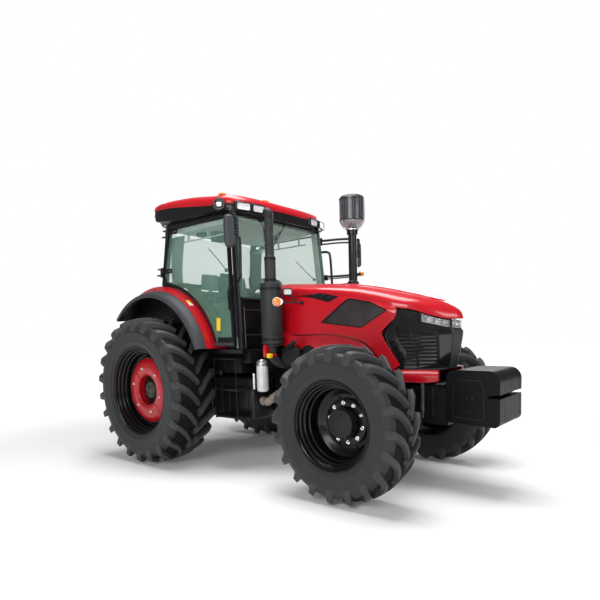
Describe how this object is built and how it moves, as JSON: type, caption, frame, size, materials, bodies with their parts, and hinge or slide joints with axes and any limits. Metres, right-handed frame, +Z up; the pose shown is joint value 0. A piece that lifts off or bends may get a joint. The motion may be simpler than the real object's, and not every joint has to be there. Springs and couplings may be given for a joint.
{
  "type": "farm tractor",
  "caption": "Four-wheel-drive farm tractor with enclosed cab, sloping hood, front weights, upright exhaust and intake, and rear three-point lift",
  "frame": {"origin": "on the ground under the middle of the bounding box", "axes": "+X forward, +Y to the driver's left, +Z up"},
  "size_m": [5.034, 2.487, 3.105],
  "materials": {
    "red_paint": "gloss red paint",
    "tyre": "dark grey rubber, matt",
    "rim_paint": "gloss black paint",
    "cast_iron": "black painted casting, satin",
    "black_steel": "satin black paint on sheet and bar",
    "dark_plastic": "dark grey moulded plastic, matt",
    "gloss_black": "gloss black moulded plastic",
    "glass": "green tinted safety glass",
    "lamp": "clear lamp lens over bright reflectors",
    "seat_cloth": "dark grey woven cloth",
    "filter": "silver grey paint"
  },
  "bodies": {
    "chassis": {"rear_axle_housing": "cast_iron", "transmission_case": "cast_iron", "engine_block": "cast_iron", "front_frame": "cast_iron", "front_axle": "cast_iron", "front_weights": "cast_iron", "cab_floor": "dark_plastic", "cab_frame": "black_steel", "firewall": "black_steel", "windshield": "glass", "roof_shell": "red_paint", "roof_skirt": "black_steel", "fender_left": "red_paint", "fender_right": "red_paint", "tank_left": "black_steel", "tank_right": "black_steel", "filter_canister": "filter", "muffler": "dark_plastic", "air_intake": "dark_plastic", "mirror_left": "dark_plastic", "mirror_right": "dark_plastic", "seat": "seat_cloth", "dashboard": "dark_plastic", "side_panel_left": "red_paint", "side_panel_right": "red_paint"},
    "hood": {"hood": "red_paint", "hood_grille_left": "dark_plastic", "hood_grille_right": "dark_plastic", "nose_mask": "gloss_black", "headlight_band": "lamp"},
    "rear_window": {"rear_window": "glass"},
    "door_left": {"door_left": "glass"},
    "door_right": {"door_right": "glass"},
    "steering_wheel": {"steering_wheel": "dark_plastic"},
    "knuckle_left": {"knuckle_left": "cast_iron"},
    "knuckle_right": {"knuckle_right": "cast_iron"},
    "tie_rod": {"tie_rod": "black_steel"},
    "wheel_front_left": {"rim_front_left": "rim_paint", "tyre_front_left": "tyre"},
    "wheel_front_right": {"rim_front_right": "rim_paint", "tyre_front_right": "tyre"},
    "wheel_rear_left": {"rim_rear_left": "rim_paint", "tyre_rear_left": "tyre", "wheel_centre_rear_left": "red_paint"},
    "wheel_rear_right": {"rim_rear_right": "rim_paint", "tyre_rear_right": "tyre", "wheel_centre_rear_right": "red_paint"},
    "lift_arms": {"lift_arm_left": "black_steel", "lift_arm_right": "black_steel"},
    "lower_link_left": {"lower_link_left": "black_steel"},
    "lower_link_right": {"lower_link_right": "black_steel"},
    "lift_rod_left": {"lift_rod_left": "black_steel"},
    "lift_rod_right": {"lift_rod_right": "black_steel"},
    "top_link": {"top_link": "black_steel"}
  },
  "joints": [
    {"name": "rear_wheel_left", "type": "hinge", "parent": "chassis", "child": "wheel_rear_left", "pos_m": [-1.417, 0.972, 0.8694], "axis": [0, 1, 0], "continuous": true},
    {"name": "rear_wheel_right", "type": "hinge", "parent": "chassis", "child": "wheel_rear_right", "pos_m": [-1.417, -0.972, 0.8694], "axis": [0, 1, 0], "continuous": true},
    {"name": "steer_left", "type": "hinge", "parent": "chassis", "child": "knuckle_left", "pos_m": [1.344, 0.64, 0.70141], "axis": [0, 0, 1], "range_deg": [-35, 35]},
    {"name": "front_wheel_left", "type": "hinge", "parent": "knuckle_left", "child": "wheel_front_left", "pos_m": [1.344, 0.931, 0.70141], "axis": [0, 1, 0], "continuous": true},
    {"name": "steer_right", "type": "hinge", "parent": "chassis", "child": "knuckle_right", "pos_m": [1.344, -0.64, 0.70141], "axis": [0, 0, 1], "range_deg": [-35, 35]},
    {"name": "front_wheel_right", "type": "hinge", "parent": "knuckle_right", "child": "wheel_front_right", "pos_m": [1.344, -0.931, 0.70141], "axis": [0, 1, 0], "continuous": true},
    {"name": "tie_rod_swing", "type": "hinge", "parent": "knuckle_left", "child": "tie_rod", "pos_m": [1.154, 0.64, 0.64], "axis": [0, 0, 1], "range_deg": [-35, 35]},
    {"name": "steering_wheel_turn", "type": "hinge", "parent": "chassis", "child": "steering_wheel", "pos_m": [-0.432, 0, 2.03], "axis": [-0.5736, 0, 0.8192], "range_deg": [-560, 560]},
    {"name": "door_left_swing", "type": "hinge", "parent": "chassis", "child": "door_left", "pos_m": [-1.386, 0.81161, 2.283], "axis": [0.2403, -0.0436, 0.9697], "range_deg": [0, 65]},
    {"name": "door_right_swing", "type": "hinge", "parent": "chassis", "child": "door_right", "pos_m": [-1.386, -0.81161, 2.283], "axis": [-0.2403, -0.0436, -0.9697], "range_deg": [0, 65]},
    {"name": "hood_lift", "type": "hinge", "parent": "chassis", "child": "hood", "pos_m": [0.103, 0, 1.96], "axis": [0, -1, 0], "range_deg": [0, 45]},
    {"name": "rear_window_lift", "type": "hinge", "parent": "chassis", "child": "rear_window", "pos_m": [-1.357, 0, 2.7724], "axis": [0, 1, 0], "range_deg": [0, 60]},
    {"name": "lift_arms_turn", "type": "hinge", "parent": "chassis", "child": "lift_arms", "pos_m": [-1.577, 0, 1.13], "axis": [0, 1, 0], "range_deg": [-20, 28]},
    {"name": "lower_link_left_turn", "type": "hinge", "parent": "chassis", "child": "lower_link_left", "pos_m": [-1.577, 0.3946, 0.56], "axis": [0, 1, 0], "range_deg": [-20, 28]},
    {"name": "lower_link_right_turn", "type": "hinge", "parent": "chassis", "child": "lower_link_right", "pos_m": [-1.577, -0.3946, 0.56], "axis": [0, 1, 0], "range_deg": [-20, 28]},
    {"name": "lift_rod_left_turn", "type": "hinge", "parent": "lift_arms", "child": "lift_rod_left", "pos_m": [-1.977, 0.3683, 1.13], "axis": [0, 1, 0], "range_deg": [-28, 20]},
    {"name": "lift_rod_right_turn", "type": "hinge", "parent": "lift_arms", "child": "lift_rod_right", "pos_m": [-1.977, -0.3683, 1.13], "axis": [0, 1, 0], "range_deg": [-28, 20]},
    {"name": "top_link_turn", "type": "hinge", "parent": "chassis", "child": "top_link", "pos_m": [-1.797, 0, 1.02], "axis": [0, -1, 0], "range_deg": [0, 80]}
  ],
  "couplings": [
    {"joint": "steer_right", "follows": "steer_left", "ratio": 1},
    {"joint": "tie_rod_swing", "follows": "steer_left", "ratio": -1},
    {"joint": "steering_wheel_turn", "follows": "steer_left", "ratio": 16},
    {"joint": "lower_link_left_turn", "follows": "lift_arms_turn", "ratio": 1},
    {"joint": "lower_link_right_turn", "follows": "lift_arms_turn", "ratio": 1},
    {"joint": "lift_rod_left_turn", "follows": "lift_arms_turn", "ratio": -1},
    {"joint": "lift_rod_right_turn", "follows": "lift_arms_turn", "ratio": -1}
  ]
}
